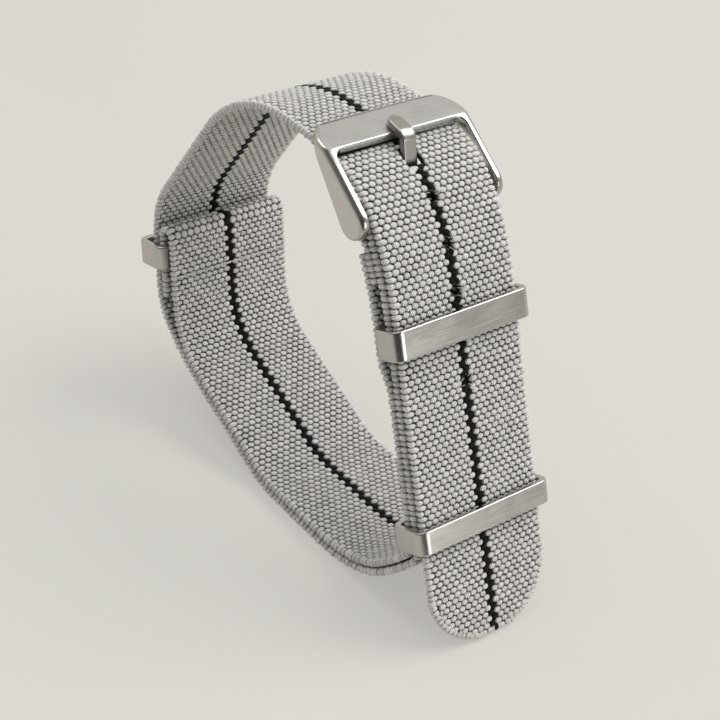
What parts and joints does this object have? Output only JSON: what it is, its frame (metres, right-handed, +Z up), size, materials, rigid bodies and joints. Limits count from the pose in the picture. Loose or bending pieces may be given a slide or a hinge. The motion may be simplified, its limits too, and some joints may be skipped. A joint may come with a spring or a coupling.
{
  "type": "stretch watch band",
  "caption": "Elastic woven watch band with a doubled strap, a pin buckle on a spring bar and metal keepers, buckled into a standing loop.",
  "frame": {"origin": "on the surface that the loop stands on, under the middle of its bounding box", "axes": "+X across the webbing, +Y along the surface from the tail's tip to the back of the loop, +Z up"},
  "size_m": [0.023, 0.0708, 0.059],
  "materials": {
    "webbing": "grey woven elastic with a black line along its middle",
    "thread": "pale sewing thread",
    "buckle_steel": "satin stainless steel with polished edges",
    "keeper_steel": "brushed stainless steel with polished edges",
    "bar_steel": "drawn stainless steel"
  },
  "bodies": {
    "webbing": {"main_strap": "webbing", "secondary_strap": "webbing", "fold_stitches": "thread", "seam_stitches": "thread", "end_stitches": "thread"},
    "spring_bar": {"spring_bar_tube": "bar_steel", "spring_bar_coil": "bar_steel"},
    "plunger_left": {"spring_bar_plunger_left": "bar_steel"},
    "plunger_right": {"spring_bar_plunger_right": "bar_steel"},
    "buckle_frame": {"buckle_frame": "buckle_steel"},
    "buckle_tongue": {"buckle_tongue": "buckle_steel"},
    "upper_keeper": {"upper_keeper": "keeper_steel"},
    "lower_keeper": {"lower_keeper": "keeper_steel"},
    "left_keeper": {"left_keeper": "keeper_steel"}
  },
  "joints": [
    {"name": "stretch", "type": "slide", "parent": "webbing", "child": "spring_bar", "axis": [0, 0, 1], "range_m": [0, 0.006], "stiffness_N_per_m": 2500, "deforming": ["main_strap", "secondary_strap", "fold_stitches", "seam_stitches", "end_stitches"]},
    {"name": "buckle_lift", "type": "hinge", "parent": "spring_bar", "child": "buckle_frame", "pos_m": [0, -0.0073, 0.05053], "axis": [1, 0, 0], "range_deg": [0, 4]},
    {"name": "tongue_lift", "type": "hinge", "parent": "buckle_frame", "child": "buckle_tongue", "pos_m": [0, -0.0073, 0.05053], "axis": [1, 0, 0], "range_deg": [0, 5]},
    {"name": "left_plunger_press", "type": "slide", "parent": "spring_bar", "child": "plunger_left", "axis": [1, 0, 0], "range_m": [0, 0.00075], "stiffness_N_per_m": 500, "springref_m": -0.0006},
    {"name": "right_plunger_press", "type": "slide", "parent": "spring_bar", "child": "plunger_right", "axis": [-1, 0, 0], "range_m": [0, 0.00075], "stiffness_N_per_m": 500, "springref_m": -0.0006},
    {"name": "upper_keeper_rise", "type": "slide", "parent": "webbing", "child": "upper_keeper", "axis": [0, 0, 1], "range_m": [0, 0.0028]},
    {"name": "lower_keeper_slide", "type": "slide", "parent": "webbing", "child": "lower_keeper", "axis": [0, 0.4067, 0.9135], "range_m": [0, 0.012]},
    {"name": "left_keeper_tilt", "type": "hinge", "parent": "webbing", "child": "left_keeper", "pos_m": [0, 0.02987, 0.02298], "axis": [1, 0, 0], "range_deg": [-4, 4]}
  ],
  "couplings": [
    {"joint": "upper_keeper_rise", "follows": "stretch", "ratio": 0.45}
  ]
}
